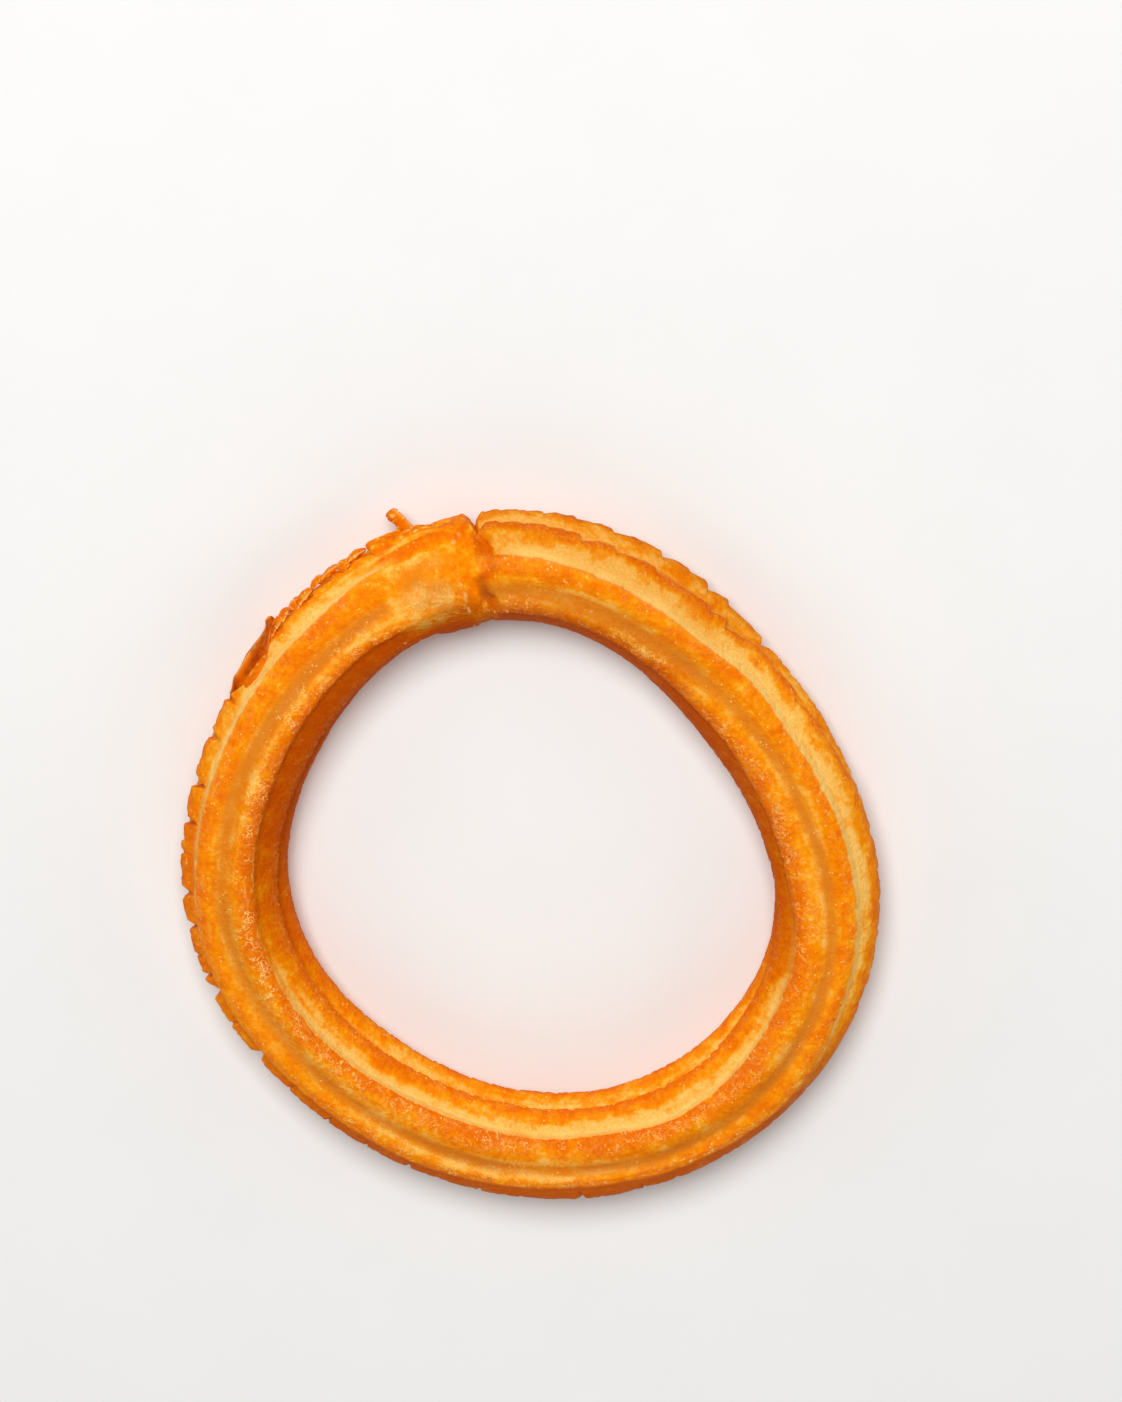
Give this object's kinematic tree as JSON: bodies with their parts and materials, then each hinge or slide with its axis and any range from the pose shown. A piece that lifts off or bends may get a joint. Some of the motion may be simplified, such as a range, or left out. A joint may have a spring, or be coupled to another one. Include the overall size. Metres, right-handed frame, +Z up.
{
  "type": "churro ring",
  "caption": "Ring of fried dough piped through a star nozzle, its ridged rope closed into a loop with the two ends pressed together.",
  "frame": {"origin": "middle of the ring's outline, on the surface it rests on", "axes": "+Z up through the ring's hole, +Y towards the pressed joint"},
  "size_m": [0.0902, 0.0951, 0.0137],
  "materials": {
    "fried_crust": "golden orange fried dough: browned, blistered ridge crests, pale smooth grooves, a thin gloss of oil"
  },
  "bodies": {
    "root": {"churro": "fried_crust"}
  },
  "joints": []
}
